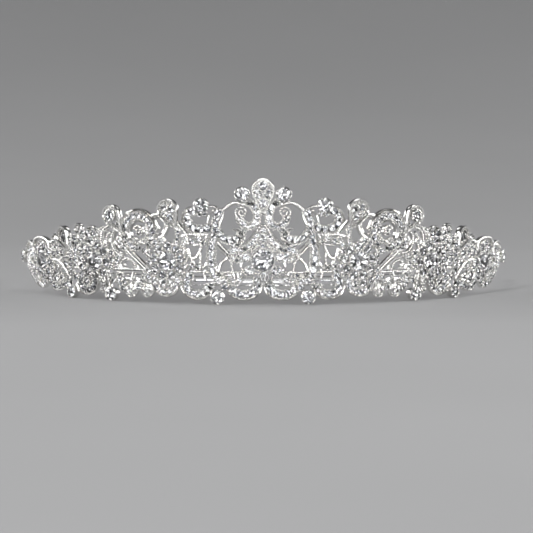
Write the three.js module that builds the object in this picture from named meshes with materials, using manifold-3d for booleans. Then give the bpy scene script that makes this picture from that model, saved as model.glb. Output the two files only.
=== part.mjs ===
// A bridal tiara: pierced castings soldered side by side to the front of a plain curved headband, set with
// round stones in cups and bezels, and ended by two flat eyelets for hairpins. Millimetres, +Z up, the front
// of the tiara faces -Y, and "left" is -X. The castings are drawn flat, as s (along the curve from the centre
// front), z (height) and t (out from the curve), and then wrapped round a vertical cylinder.
import * as THREE from "three";
import { mergeVertices } from "three/addons/utils/BufferGeometryUtils.js";
import Module from "manifold-3d";

const wasm = await Module();
wasm.setup();

// ---- driving dimensions ----
const FACE_RADIUS = 78; // the middle of the castings' thickness
const CASTING_THICKNESS = 1.4;
const BACK = -CASTING_THICKNESS / 2;
const FRONT = CASTING_THICKNESS / 2;
const RIM_FRONT = 1.3; // raised loop rims stand this far out
const SOLDER_GAP = 0.25;
const GLUE_GAP = 0.12; // between a stone and the metal round it

const BAND_THICKNESS = 1.0;
const BAND_HEIGHT = 2.1;
const BAND_BOTTOM = 5.5;
const BAND_HALF_ANGLE = 95; // degrees each side of the centre front
const BAND_SEGMENTS = 61; // an odd number keeps one flat facing straight forward
const BAND_OUTER = FACE_RADIUS + BACK - SOLDER_GAP;
const BAND_INNER = BAND_OUTER - BAND_THICKNESS;

const EYELET_RADIUS = 2.6;
const EYELET_HOLE = 1.2;
const EYELET_SIDES = 24;

const STONE_SIDES = 12;
const SMALL_STONE_SIDES = 8;
const SMALL_STONE = 1.5; // stones up to this radius get fewer sides
const CUP_SIDES = 12;
const GIRDLE = 0.08; // height of a stone's straight edge, as a share of its radius
const CROWN = 0.34; // height of the crown over the girdle, as a share of the radius
const PAVILION = 0.62; // depth of the pavilion under the girdle, as a share of the radius
const TABLE = 0.56; // radius of the flat top, as a share of the radius
const BEZEL_WALL = 0.4;
const BEZEL_LIP = 0.1; // how far a bezel stands above its stone's girdle
const CUP_STONE = 0.86; // a cup's stone radius as a share of the cup's radius
const CUP_BORE = 0.6; // a cup's open back as a share of its stone's radius
const CUP_FOOT = 0.9; // a cup's radius at the back as a share of its radius at the lip
const CUP_LIP = 0.2; // how far the lip stands above the girdle
const CUP_GIRDLE = 1.35; // t of the girdle of a stone in a cup
const BEZEL_GIRDLE = 1.0; // t of the girdle of a stone in a casting's bezel

const RIBBON_STEP = 3.1; // longest straight piece along a ribbon
const CURL_STEP = 35; // degrees between the points that guide a round curl
const DISC_SIDES = 10;
const LARGE_DISC_SIDES = 14;
const LARGE_DISC = 2.6; // discs wider than this get more sides
const DROP_ARC_SIDES = 11;
const CUTTER_MARGIN = 1; // how far a cutter runs past the faces it cuts
const WELD = 1e-4; // corners closer than this are one corner
const FULL_TURN = 2 * Math.PI;
const SMALLEST_STEP = 0.12; // steps in a casting's outline finer than this are smoothed away

// ---- solids ----
function solidOf(geometry) {
  const plain = geometry.index ? geometry.toNonIndexed() : geometry.clone();
  plain.deleteAttribute("normal");
  plain.deleteAttribute("uv");
  const merged = mergeVertices(plain, WELD);
  return new wasm.Manifold(
    new wasm.Mesh({
      numProp: 3,
      vertProperties: new Float32Array(merged.attributes.position.array),
      triVerts: new Uint32Array(merged.index.array),
    }),
  );
}

function wrappedGeometry(solid) {
  const mesh = solid.getMesh();
  const positions = new Float32Array(mesh.numVert * 3);
  for (let i = 0; i < mesh.numVert; i += 1) {
    const [s, z, t] = mesh.vertProperties.subarray(i * mesh.numProp, i * mesh.numProp + 3);
    positions.set(wrap(s, z, t), i * 3);
  }
  const geometry = new THREE.BufferGeometry();
  geometry.setAttribute("position", new THREE.BufferAttribute(positions, 3));
  geometry.setIndex(new THREE.BufferAttribute(new Uint32Array(mesh.triVerts), 1));
  const flat = geometry.toNonIndexed();
  flat.computeVertexNormals();
  return flat;
}

function wrap(s, z, t) {
  const angle = s / FACE_RADIUS;
  const radius = FACE_RADIUS + t;
  return [radius * Math.sin(angle), -radius * Math.cos(angle), z];
}

function joined(solids) {
  return solids.reduce((whole, piece) => whole.add(piece));
}

// A cut can leave a crumb beside the casting, so only the largest body is kept.
function mainBody(solid) {
  const bodies = solid.simplify(SMALLEST_STEP).decompose();
  return bodies.reduce((largest, body) => (body.volume() > largest.volume() ? body : largest));
}

// ---- strokes: the flat shapes a casting is made of ----
function ribbon(width, ...points) {
  return { kind: "ribbon", width, points, front: FRONT };
}

function curl(width, radius, s, z, fromDegrees, toDegrees) {
  const steps = Math.ceil(Math.abs(toDegrees - fromDegrees) / CURL_STEP);
  const points = Array.from({ length: steps + 1 }, (_, i) => {
    const angle = THREE.MathUtils.degToRad(fromDegrees + ((toDegrees - fromDegrees) * i) / steps);
    return [s + radius * Math.cos(angle), z + radius * Math.sin(angle)];
  });
  return ribbon(width, ...points);
}

function disc(radius, s, z) {
  return { kind: "disc", radius, s, z, front: FRONT };
}

function bezel(radius, s, z) {
  return { kind: "disc", radius: radius + BEZEL_WALL, s, z, front: BEZEL_GIRDLE + BEZEL_LIP };
}

function ring(width, radius, s, z) {
  return { kind: "ring", width, radius, s, z, front: RIM_FRONT };
}

// A closed drop-shaped rim: an arc round (s, z) drawn down to a tip.
function dropRim(width, radius, s, z, tipS, tipZ) {
  return { kind: "drop", width, radius, s, z, tipS, tipZ, front: RIM_FRONT };
}

function ribbonShape(stroke, grow) {
  const curve = new THREE.SplineCurve(stroke.points.map(([s, z]) => new THREE.Vector2(s, z)));
  const steps = Math.max(2, Math.ceil(curve.getLength() / RIBBON_STEP));
  const half = stroke.width / 2 + grow;
  const left = [];
  const right = [];
  for (let i = 0; i <= steps; i += 1) {
    const at = curve.getPointAt(i / steps);
    const along = curve.getTangentAt(i / steps);
    const extra = (i === 0 ? -1 : i === steps ? 1 : 0) * grow;
    const s = at.x + along.x * extra;
    const z = at.y + along.y * extra;
    left.push(new THREE.Vector2(s - along.y * half, z + along.x * half));
    right.push(new THREE.Vector2(s + along.y * half, z - along.x * half));
  }
  return new THREE.Shape([...left, ...right.reverse()]);
}

function circlePoints(radius, s, z, sides, from = 0, to = FULL_TURN) {
  const whole = to - from === FULL_TURN;
  const count = whole ? sides : sides + 1;
  return Array.from({ length: count }, (_, i) => {
    const angle = from + ((to - from) * i) / sides;
    return new THREE.Vector2(s + radius * Math.cos(angle), z + radius * Math.sin(angle));
  });
}

function discSides(radius) {
  return radius > LARGE_DISC ? LARGE_DISC_SIDES : DISC_SIDES;
}

function dropPoints(stroke, offset) {
  const radius = stroke.radius + offset;
  const toTip = Math.atan2(stroke.tipZ - stroke.z, stroke.tipS - stroke.s);
  const reach = Math.hypot(stroke.tipS - stroke.s, stroke.tipZ - stroke.z);
  const tangent = Math.acos(stroke.radius / reach);
  const from = toTip + tangent;
  const to = toTip + FULL_TURN - tangent;
  const arc = circlePoints(radius, stroke.s, stroke.z, DROP_ARC_SIDES, from, to);
  const tipReach = reach + offset / Math.cos(tangent);
  arc.push(
    new THREE.Vector2(stroke.s + tipReach * Math.cos(toTip), stroke.z + tipReach * Math.sin(toTip)),
  );
  return arc;
}

function strokeShape(stroke, grow) {
  if (stroke.kind === "ribbon") return ribbonShape(stroke, grow);
  if (stroke.kind === "disc") {
    return new THREE.Shape(circlePoints(stroke.radius + grow, stroke.s, stroke.z, discSides(stroke.radius)));
  }
  const half = stroke.width / 2 + grow;
  if (stroke.kind === "ring") {
    const shape = new THREE.Shape(circlePoints(stroke.radius + half, stroke.s, stroke.z, DISC_SIDES));
    const hole = circlePoints(stroke.radius - half, stroke.s, stroke.z, DISC_SIDES);
    if (stroke.radius > half) shape.holes.push(new THREE.Path(hole));
    return shape;
  }
  const shape = new THREE.Shape(dropPoints(stroke, half));
  shape.holes.push(new THREE.Path(dropPoints(stroke, -half)));
  return shape;
}

function extruded(shape, back, front) {
  const geometry = new THREE.ExtrudeGeometry(shape, { depth: front - back, bevelEnabled: false, steps: 1 });
  geometry.translate(0, 0, back);
  return solidOf(geometry);
}

function mirrored(stroke) {
  if (stroke.kind === "ribbon") return { ...stroke, points: stroke.points.map(([s, z]) => [-s, z]) };
  return { ...stroke, s: -stroke.s, tipS: -stroke.tipS };
}

// ---- stones, cups and the holes cut for them ----
function stoneProfile(radius, girdleT) {
  return [
    new THREE.Vector2(0, girdleT - PAVILION * radius),
    new THREE.Vector2(radius, girdleT),
    new THREE.Vector2(radius, girdleT + GIRDLE * radius),
    new THREE.Vector2(TABLE * radius, girdleT + (GIRDLE + CROWN) * radius),
    new THREE.Vector2(0, girdleT + (GIRDLE + CROWN) * radius),
  ];
}

function stoneGeometry(radius, girdleT) {
  const sides = radius > SMALL_STONE ? STONE_SIDES : SMALL_STONE_SIDES;
  return new THREE.LatheGeometry(stoneProfile(radius, girdleT), sides);
}

// A collet open at the back: its bore widens into a seat under the stone and a lip round the girdle.
function cupGeometry(radius) {
  const stone = radius * CUP_STONE;
  const bore = stone * CUP_BORE;
  const lip = stone + GLUE_GAP;
  const seat = CUP_GIRDLE - GLUE_GAP;
  const boreTop = seat - (lip - bore) * PAVILION;
  const profile = [
    [bore, BACK],
    [radius * CUP_FOOT, BACK],
    [radius, CUP_GIRDLE + CUP_LIP],
    [lip, CUP_GIRDLE + CUP_LIP],
    [lip, seat],
    [bore, boreTop],
    [bore, BACK],
  ];
  return new THREE.LatheGeometry(profile.map(([r, t]) => new THREE.Vector2(r, t)), CUP_SIDES);
}

// The hollow a bezel stone drops into, in the flat drawing.
function stoneHollow(stone) {
  const wide = stone.radius + GLUE_GAP;
  const profile = [
    new THREE.Vector2(0, BEZEL_GIRDLE - PAVILION * wide - 2 * GLUE_GAP),
    new THREE.Vector2(wide, BEZEL_GIRDLE - GLUE_GAP),
    new THREE.Vector2(wide, RIM_FRONT + CUTTER_MARGIN),
    new THREE.Vector2(0, RIM_FRONT + CUTTER_MARGIN),
  ];
  const geometry = new THREE.LatheGeometry(profile, discSides(stone.radius));
  geometry.rotateX(Math.PI / 2);
  geometry.translate(stone.s, stone.z, 0);
  return solidOf(geometry);
}

function cupClearance(cup) {
  const shape = new THREE.Shape(circlePoints(cup.radius + SOLDER_GAP, cup.s, cup.z, CUP_SIDES));
  return extruded(shape, BACK - CUTTER_MARGIN, RIM_FRONT + CUTTER_MARGIN);
}

// Turns a piece made round its own Y axis to point out of the curve at (s, z).
function place(geometry, s, z) {
  const angle = s / FACE_RADIUS;
  const along = new THREE.Vector3(Math.cos(angle), Math.sin(angle), 0);
  const out = new THREE.Vector3(Math.sin(angle), -Math.cos(angle), 0);
  const down = new THREE.Vector3(0, 0, -1);
  geometry.applyMatrix4(new THREE.Matrix4().makeBasis(along, out, down));
  geometry.translate(FACE_RADIUS * out.x, FACE_RADIUS * out.y, z);
  return geometry;
}

// ---- the castings, right half (s > 0) ----
// Half of the centre: a lyre of two scrolls under the top cup, the lobes over the flower, the bar and arch
// beside it, and the scallop at the foot.
function centreStrokes() {
  return [
    ribbon(2.5, [4.4, 31.0], [3.0, 29.8], [2.0, 28.0], [1.8, 26.0], [2.4, 24.3], [4.2, 23.4]),
    ribbon(2.5, [7.3, 26.4], [6.6, 24.9], [5.2, 23.8], [4.0, 23.4]),
    ribbon(1.9, [3.6, 30.3], [5.2, 30.6]),
    ring(0.9, 1.6, 6.4, 27.7),
    ribbon(1.2, [5.4, 29.9], [8.3, 30.6], [10.3, 29.7], [12.2, 28.1]),
    disc(1.1, 5.6, 22.4),
    ribbon(2.6, [6.7, 22.0], [6.8, 20.6], [8.3, 19.6], [10.6, 19.4], [12.5, 20.4], [13.7, 22.2]),
    ribbon(0.8, [0.2, 24.6], [1.2, 23.3], [1.9, 21.6]),
    ribbon(2.1, [1.5, 21.4], [2.5, 19.6], [4.0, 17.9], [6.1, 16.2]),
    ribbon(1.7, [1.5, 18.4], [2.7, 17.4], [3.9, 16.1]),
    ribbon(2.2, [6.0, 16.2], [7.6, 16.6], [9.2, 16.1], [10.5, 14.8]),
    ribbon(1.8, [6.3, 13.4], [7.6, 13.3], [9.0, 13.8], [10.4, 14.6]),
    disc(1.1, 6.9, 14.9),
    ribbon(1.5, [10.2, 14.6], [12.3, 16.6], [14.2, 18.5]),
    ribbon(0.9, [13.4, 10.0], [12.5, 12.4], [10.9, 13.8], [9.6, 12.6], [9.2, 10.0]),
    ribbon(0.8, [5.6, 9.8], [6.6, 11.0], [6.2, 12.6]),
    ribbon(1.0, [1.8, 9.3], [5.0, 9.6], [7.5, 9.7], [11.0, 9.6], [13.9, 9.4]),
    ribbon(1.4, [9.6, 6.2], [11.0, 8.0], [12.8, 9.4]),
    ribbon(0.8, [9.4, 9.6], [8.6, 8.2], [8.4, 5.4]),
    disc(1.1, 11.6, 6.9),
    ribbon(2.9, [1.7, 8.0], [1.6, 5.9], [2.9, 3.9], [5.3, 2.95], [7.9, 3.4], [9.9, 4.9]),
    disc(1.3, 11.4, 5.2),
  ];
}

// The drop-shaped medallion at the top of the centre, and the crown lobe over the flower.
function centreMiddleStrokes() {
  return [
    dropRim(0.7, 3.2, 0.0, 34.45, 0.0, 27.7),
    disc(1.6, 0.0, 20.0),
  ];
}

// The tall pavé stem beside the centre, the crook that holds the shoulder cup, and the second scallop.
function stemStrokes() {
  return [
    disc(1.5, 13.4, 27.5),
    ribbon(
      2.5, [14.0, 26.6], [14.3, 24.2], [14.3, 22.2], [14.9, 20.0], [15.5, 17.0], [15.7, 14.0],
      [15.5, 11.4], [15.0, 9.4], [14.3, 7.8],
    ),
    ribbon(0.8, [13.9, 29.0], [15.0, 29.4], [16.4, 29.6]),
    ribbon(
      2.8, [20.4, 28.1], [22.2, 27.6], [23.0, 25.7], [22.3, 23.7], [20.3, 22.7], [17.8, 22.6],
      [15.8, 23.3],
    ),
    ribbon(1.8, [26.0, 24.8], [24.4, 23.0], [22.8, 20.9]),
    ribbon(1.2, [16.4, 21.0], [19.4, 20.7], [22.6, 20.9], [24.8, 20.2]),
    disc(1.2, 21.7, 18.9),
    ribbon(1.8, [23.0, 20.2], [23.9, 18.8], [24.4, 17.2]),
    ribbon(0.8, [16.6, 22.2], [17.2, 20.0], [18.8, 18.6]),
    ribbon(1.0, [18.6, 18.4], [19.0, 16.2], [20.0, 14.3], [21.3, 13.7], [22.5, 14.6], [23.3, 16.6]),
    ribbon(0.8, [18.9, 18.0], [21.2, 17.7], [23.4, 18.4]),
    ribbon(0.8, [19.2, 15.6], [18.9, 13.4], [19.4, 11.4]),
    ribbon(0.9, [16.9, 12.6], [17.8, 11.2], [19.4, 10.6], [20.9, 11.6], [21.9, 13.4]),
    disc(1.2, 19.5, 11.3),
    ribbon(1.0, [16.4, 9.6], [18.0, 9.7], [20.5, 9.7], [22.2, 9.5]),
    ribbon(0.8, [17.2, 10.4], [17.9, 9.2], [17.6, 7.9]),
    ribbon(2.8, [16.3, 5.5], [17.5, 3.7], [20.2, 2.95], [22.6, 3.9], [23.4, 5.9], [22.8, 7.9], [21.8, 9.2]),
    disc(1.3, 13.5, 7.0),
    disc(1.3, 15.6, 5.4),
  ];
}

// A ring of round petals about (s, z).
function petals(count, radius, reach, s, z) {
  return Array.from({ length: count }, (_, i) => {
    const angle = Math.PI / 2 + (FULL_TURN * i) / count;
    return disc(radius, s + reach * Math.cos(angle), z + reach * Math.sin(angle));
  });
}

// A drop-shaped leaf over a nine-petalled flower, with a cluster of beads and a scallop below.
function flowerStrokes() {
  return [
    dropRim(0.7, 3.05, 29.4, 28.3, 27.2, 23.0),
    disc(1.5, 27.9, 28.7),
    disc(1.4, 30.5, 29.0),
    disc(1.5, 28.5, 26.1),
    ribbon(1.8, [27.1, 24.2], [26.3, 22.4], [26.2, 20.4], [26.6, 17.8]),
    ribbon(1.1, [28.9, 25.0], [29.6, 22.6], [30.7, 20.6], [32.2, 19.6]),
    ribbon(1.2, [31.8, 26.3], [33.0, 26.8], [34.6, 26.4]),
    ribbon(0.8, [30.8, 25.8], [30.3, 23.4], [31.0, 21.4], [32.9, 20.6]),
    ...petals(9, 1.6, 4.5, 29.4, 12.8),
    disc(1.1, 33.4, 18.3),
    disc(1.1, 24.3, 15.9),
    disc(1.3, 28.1, 5.9),
    disc(1.5, 30.9, 6.1),
    disc(1.4, 33.5, 6.9),
    disc(1.2, 33.9, 9.2),
    disc(1.1, 35.6, 7.9),
    disc(1.1, 35.8, 9.8),
    disc(1.1, 35.4, 14.4),
    ribbon(2.4, [26.3, 7.6], [26.3, 5.5], [27.6, 4.0], [29.8, 3.4], [32.0, 3.9], [33.6, 5.2]),
    disc(2.3, 36.2, 3.8),
  ];
}

// A large open spiral over two crossing bars, with an inner scroll and the foot discs below.
function spiralStrokes() {
  return [
    curl(2.6, 4.95, 39.6, 21.4, 232, -95),
    disc(1.3, 35.3, 17.4),
    disc(1.2, 37.0, 15.7),
    curl(1.0, 2.2, 38.2, 21.2, 210, -130),
    disc(1.3, 38.0, 21.2),
    ring(0.7, 1.15, 39.9, 18.0),
    ribbon(2.3, [46.6, 19.0], [44.6, 16.7], [41.6, 14.0], [38.9, 11.9], [36.6, 9.9]),
    ribbon(1.2, [44.9, 21.2], [46.9, 21.9], [48.8, 20.3], [48.9, 17.6], [47.2, 15.1], [44.6, 14.4]),
    ribbon(0.8, [45.4, 19.6], [46.8, 19.6], [47.2, 18.0], [46.2, 16.4], [44.9, 16.0]),
    ribbon(1.2, [40.3, 9.8], [41.4, 12.1], [43.5, 12.9], [45.2, 11.9], [44.9, 10.6], [43.9, 10.5]),
    ribbon(2.0, [45.4, 14.4], [46.9, 13.3], [47.4, 11.4], [46.9, 9.6]),
    disc(1.2, 49.2, 14.7),
    disc(1.2, 49.2, 12.5),
    ribbon(1.3, [36.2, 9.5], [41.0, 9.6], [46.0, 9.5], [48.6, 9.4]),
    ribbon(1.8, [37.0, 9.2], [37.7, 7.4], [38.3, 5.9]),
    disc(2.4, 41.9, 3.7),
    ribbon(0.9, [41.9, 5.4], [41.7, 7.4], [41.2, 9.2]),
    ribbon(2.2, [44.5, 3.5], [45.9, 5.1], [46.4, 7.2], [46.3, 9.0]),
    disc(1.1, 39.0, 4.6),
    dropRim(0.7, 2.95, 49.3, 26.2, 45.2, 21.2),
    ribbon(1.4, [45.9, 22.6], [45.0, 21.2], [44.6, 19.8]),
  ];
}

// An eight-petalled flower under a ringed trefoil, with the side scallop.
function sideStrokes() {
  return [
    ribbon(1.3, [49.2, 22.6], [51.2, 22.3], [52.9, 20.5], [53.1, 18.0], [52.4, 16.0]),
    ribbon(1.1, [49.6, 20.8], [51.0, 19.4], [50.8, 17.6], [51.4, 15.8]),
    ribbon(1.8, [51.4, 22.0], [53.4, 21.7], [55.2, 20.8]),
    ring(0.7, 2.85, 57.8, 19.6),
    disc(1.4, 56.6, 20.3),
    disc(1.3, 59.0, 20.3),
    disc(1.4, 57.8, 18.2),
    disc(1.8, 54.7, 17.1),
    ...petals(8, 1.6, 4.5, 55.7, 11.8),
    ring(0.7, 1.45, 63.8, 21.5),
    disc(1.1, 61.6, 20.4),
    ribbon(2.3, [60.4, 18.3], [62.4, 18.5], [63.5, 17.0], [63.2, 15.0], [61.6, 13.9]),
    disc(1.2, 60.9, 16.2),
    ribbon(1.0, [63.8, 20.2], [63.6, 18.4]),
    ribbon(2.3, [64.4, 17.4], [65.2, 14.8], [65.3, 12.2], [64.7, 9.6]),
    disc(1.3, 62.3, 12.3),
    disc(1.2, 61.9, 10.0),
    disc(1.2, 65.5, 18.6),
    ribbon(1.0, [60.4, 9.3], [62.0, 9.4], [65.2, 9.3]),
    ribbon(0.8, [49.9, 4.2], [50.4, 6.4], [51.2, 8.4]),
    ring(0.7, 1.35, 52.2, 3.7),
    ribbon(0.9, [52.4, 4.8], [53.0, 6.4], [54.2, 7.2]),
    ribbon(
      2.7, [56.3, 6.8], [56.3, 4.8], [57.6, 3.3], [59.6, 2.8], [61.7, 3.5], [62.7, 5.2], [62.3, 7.2],
      [61.6, 8.6],
    ),
    disc(1.4, 59.6, 5.5),
    disc(1.1, 64.6, 6.6),
    ribbon(0.8, [63.4, 5.4], [64.4, 4.4], [64.9, 3.8]),
  ];
}

// The last casting: a low leaf, a small flower, and three bars that draw together at the end of the curve.
function endStrokes() {
  return [
    dropRim(0.7, 2.6, 71.6, 19.2, 68.6, 15.2),
    disc(1.9, 71.0, 18.5),
    ring(0.7, 1.4, 76.8, 17.7),
    disc(1.1, 68.2, 18.2),
    disc(1.1, 74.8, 19.0),
    ribbon(2.2, [67.0, 16.7], [69.4, 15.5], [73.4, 15.7], [77.4, 15.1], [79.2, 13.6]),
    ribbon(2.3, [67.8, 15.4], [67.5, 13.0], [67.5, 9.6], [68.0, 6.6]),
    ribbon(1.0, [67.8, 5.8], [70.4, 8.4], [74.0, 10.8], [78.6, 11.2]),
    ribbon(1.2, [68.6, 12.4], [71.4, 12.2], [74.0, 10.8]),
    disc(1.4, 71.6, 13.6),
    disc(1.2, 74.6, 13.6),
    disc(1.2, 77.0, 13.0),
    disc(1.2, 69.9, 10.4),
    disc(1.2, 71.9, 6.1),
    disc(1.1, 77.8, 8.9),
    ribbon(1.0, [67.8, 9.3], [70.4, 9.2], [73.0, 8.8]),
    ribbon(2.6, [68.0, 4.4], [70.6, 3.9], [73.6, 2.9], [76.8, 2.9], [79.0, 4.5], [80.0, 6.4]),
    disc(1.5, 75.2, 5.4),
    ribbon(1.8, [74.2, 10.8], [75.2, 6.6]),
    ...petals(8, 1.6, 4.3, 83.8, 10.4),
    ribbon(0.8, [79.8, 13.6], [81.0, 16.6], [85.0, 17.7], [90.0, 17.4], [93.6, 15.4], [93.8, 12.6]),
    ribbon(0.8, [82.6, 15.0], [86.0, 16.4], [90.0, 15.9], [92.6, 13.4]),
    disc(1.2, 86.6, 15.6),
    disc(1.2, 89.6, 14.4),
    ribbon(0.8, [93.9, 14.6], [97.6, 15.9], [101.4, 14.8], [103.4, 12.4]),
    disc(1.2, 95.6, 13.9),
    disc(1.2, 98.6, 13.2),
    ribbon(2.3, [88.6, 11.3], [91.6, 12.1], [96.0, 11.9], [99.4, 11.0], [102.2, 10.6]),
    ribbon(2.2, [88.4, 7.8], [91.4, 7.7], [95.6, 8.7], [99.2, 10.0]),
    ribbon(2.3, [82.4, 4.8], [83.8, 3.3], [86.8, 2.9], [91.0, 3.8], [95.0, 5.7], [98.8, 7.6], [102.4, 9.3]),
    disc(1.2, 88.6, 5.4),
    disc(1.2, 91.6, 5.8),
    disc(1.1, 91.4, 9.9),
    ribbon(1.0, [88.0, 7.4], [89.0, 5.2], [89.4, 3.2]),
    ribbon(1.0, [90.4, 12.0], [91.4, 10.0], [91.2, 7.8]),
  ];
}

// ---- settings, right half ----
const CUPS = [
  { name: "top", radius: 2.4, s: 6.15, z: 33.2 },
  { name: "shoulder", radius: 2.4, s: 18.5, z: 29.7 },
  { name: "crest", radius: 1.95, s: 49.2, z: 26.1 },
  { name: "front_foot", radius: 2.25, s: 13.5, z: 2.25 },
  { name: "middle_foot", radius: 2.1, s: 48.8, z: 2.1 },
  { name: "rear_foot", radius: 2.0, s: 65.9, z: 2.0 },
  { name: "end", radius: 2.1, s: 104.4, z: 10.7 },
];

const SIDE_STONES = {
  flower: [{ name: "front_flower_stone", radius: 2.8, s: 29.4, z: 12.8 }],
  side: [{ name: "side_flower_stone", radius: 2.7, s: 55.7, z: 11.8 }],
  end: [{ name: "rear_flower_stone", radius: 2.6, s: 83.8, z: 10.4 }],
};

const CENTRE_STONES = [
  { name: "centre_flower_stone", radius: 3.3, s: 0, z: 13.4 },
  { name: "medallion_top_stone", radius: 1.35, s: 0, z: 35.8 },
  { name: "medallion_left_stone", radius: 1.3, s: -1.65, z: 33.2 },
  { name: "medallion_right_stone", radius: 1.3, s: 1.65, z: 33.2 },
  { name: "medallion_bottom_stone", radius: 1.25, s: 0, z: 30.6 },
  { name: "petal_bottom_stone", radius: 1.45, s: 0, z: 8.3 },
  { name: "petal_lower_left_stone", radius: 1.4, s: -4.0, z: 10.2 },
  { name: "petal_lower_right_stone", radius: 1.4, s: 4.0, z: 10.2 },
  { name: "petal_upper_left_stone", radius: 1.15, s: -5.1, z: 14.2 },
  { name: "petal_upper_right_stone", radius: 1.15, s: 5.1, z: 14.2 },
];

// ---- materials ----
const PLATED_METAL = { color: 0xd9dadd, roughness: 0.18, metalness: 1.0 };
const BAND_METAL = { color: 0xcfd1d4, roughness: 0.24, metalness: 1.0 };
const CRYSTAL = { color: 0xeef3fa, roughness: 0.04, metalness: 0.1 };

const tiara = new THREE.Group();
tiara.name = "bridal_tiara";

function addMesh(name, geometry, look) {
  const mesh = new THREE.Mesh(geometry, new THREE.MeshStandardMaterial(look));
  mesh.name = name;
  tiara.add(mesh);
}

// The same item on the left or right of the centre.
function onSide(item, side) {
  return { ...item, s: item.s * side };
}

const SIDES = [
  { word: "left", sign: -1 },
  { word: "right", sign: 1 },
];

function addStones(stones) {
  for (const stone of stones) {
    addMesh(stone.name, place(stoneGeometry(stone.radius, BEZEL_GIRDLE), stone.s, stone.z), CRYSTAL);
  }
}

function addCups(side) {
  for (const cup of CUPS) {
    const name = `${side.word}_${cup.name}`;
    const s = cup.s * side.sign;
    addMesh(`${name}_cup`, place(cupGeometry(cup.radius), s, cup.z), PLATED_METAL);
    addMesh(`${name}_stone`, place(stoneGeometry(cup.radius * CUP_STONE, CUP_GIRDLE), s, cup.z), CRYSTAL);
  }
}

// The flat solid of a casting, or of the same casting grown by the solder gap to cut its neighbour with.
function flatCasting(strokes, grow) {
  const margin = grow > 0 ? CUTTER_MARGIN : 0;
  const solids = strokes.map((stroke) =>
    extruded(strokeShape(stroke, grow), BACK - margin, stroke.front + margin),
  );
  return joined(solids);
}

// Castings are cut in order from the centre outwards, each to clear the one before it.
function addCastingsOf(side, centreStrokesBoth) {
  const row = [
    { name: "stem_casting", strokes: stemStrokes(), stones: [] },
    { name: "flower_casting", strokes: flowerStrokes(), stones: SIDE_STONES.flower },
    { name: "spiral_casting", strokes: spiralStrokes(), stones: [] },
    { name: "side_flower_casting", strokes: sideStrokes(), stones: SIDE_STONES.side },
    { name: "end_casting", strokes: endStrokes(), stones: SIDE_STONES.end },
  ];
  let before = centreStrokesBoth;
  for (const casting of row) {
    const stones = casting.stones.map((stone) => onSide(stone, side.sign));
    const drawn = [...casting.strokes, ...casting.stones.map((stone) => bezel(stone.radius, stone.s, stone.z))];
    const strokes = side.sign < 0 ? drawn.map(mirrored) : drawn;
    let solid = flatCasting(strokes, 0).subtract(flatCasting(before, SOLDER_GAP));
    solid = cutSettings(solid, stones);
    addMesh(`${side.word}_${casting.name}`, wrappedGeometry(mainBody(solid)), PLATED_METAL);
    addStones(stones.map((stone) => ({ ...stone, name: `${side.word}_${stone.name}` })));
    before = strokes;
  }
}

// Opens the hollows for a casting's own stones and clears the cups that stand in front of it.
function cutSettings(solid, stones) {
  let cut = solid;
  for (const stone of stones) cut = cut.subtract(stoneHollow(stone));
  for (const side of SIDES) {
    for (const cup of CUPS) cut = cut.subtract(cupClearance(onSide(cup, side.sign)));
  }
  return cut;
}

function addCentreCasting() {
  const half = centreStrokes();
  const strokes = [
    ...half,
    ...half.map(mirrored),
    ...centreMiddleStrokes(),
    ...CENTRE_STONES.map((stone) => bezel(stone.radius, stone.s, stone.z)),
  ];
  const solid = cutSettings(flatCasting(strokes, 0), CENTRE_STONES);
  addMesh("centre_casting", wrappedGeometry(mainBody(solid)), PLATED_METAL);
  addStones(CENTRE_STONES);
  return strokes;
}

// ---- headband and eyelets ----
function arcPoints(radius, fromDegrees, toDegrees) {
  return Array.from({ length: BAND_SEGMENTS + 1 }, (_, i) => {
    const angle = THREE.MathUtils.degToRad(fromDegrees + ((toDegrees - fromDegrees) * i) / BAND_SEGMENTS);
    return new THREE.Vector2(radius * Math.sin(angle), -radius * Math.cos(angle));
  });
}

function addHeadband() {
  const outer = arcPoints(BAND_OUTER, -BAND_HALF_ANGLE, BAND_HALF_ANGLE);
  const inner = arcPoints(BAND_INNER, BAND_HALF_ANGLE, -BAND_HALF_ANGLE);
  const shape = new THREE.Shape([...outer, ...inner]);
  const geometry = new THREE.ExtrudeGeometry(shape, { depth: BAND_HEIGHT, bevelEnabled: false });
  geometry.translate(0, 0, BAND_BOTTOM);
  addMesh("headband", geometry, BAND_METAL);
}

function addEyelet(side) {
  const shape = new THREE.Shape(circlePoints(EYELET_RADIUS, 0, 0, EYELET_SIDES));
  shape.holes.push(new THREE.Path(circlePoints(EYELET_HOLE, 0, 0, EYELET_SIDES)));
  const geometry = new THREE.ExtrudeGeometry(shape, { depth: BAND_THICKNESS, bevelEnabled: false });
  const angle = THREE.MathUtils.degToRad(BAND_HALF_ANGLE) * side.sign;
  const along = new THREE.Vector3(Math.cos(angle), Math.sin(angle), 0);
  const out = new THREE.Vector3(Math.sin(angle), -Math.cos(angle), 0);
  geometry.applyMatrix4(new THREE.Matrix4().makeBasis(along, new THREE.Vector3(0, 0, 1), out));
  const centre = out
    .multiplyScalar(BAND_INNER)
    .addScaledVector(along, side.sign * (EYELET_RADIUS + SOLDER_GAP));
  geometry.translate(centre.x, centre.y, BAND_BOTTOM + BAND_HEIGHT / 2);
  addMesh(`${side.word}_end_eyelet`, geometry, BAND_METAL);
}

addHeadband();
const centre = addCentreCasting();
for (const side of SIDES) {
  addEyelet(side);
  addCastingsOf(side, centre);
  addCups(side);
}

// ---- the origin: under the middle of the whole tiara ----
const bounds = new THREE.Box3().setFromObject(tiara);
const middle = bounds.getCenter(new THREE.Vector3());
for (const mesh of tiara.children) mesh.geometry.translate(-middle.x, -middle.y, -bounds.min.z);

export default tiara;
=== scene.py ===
import math

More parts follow.
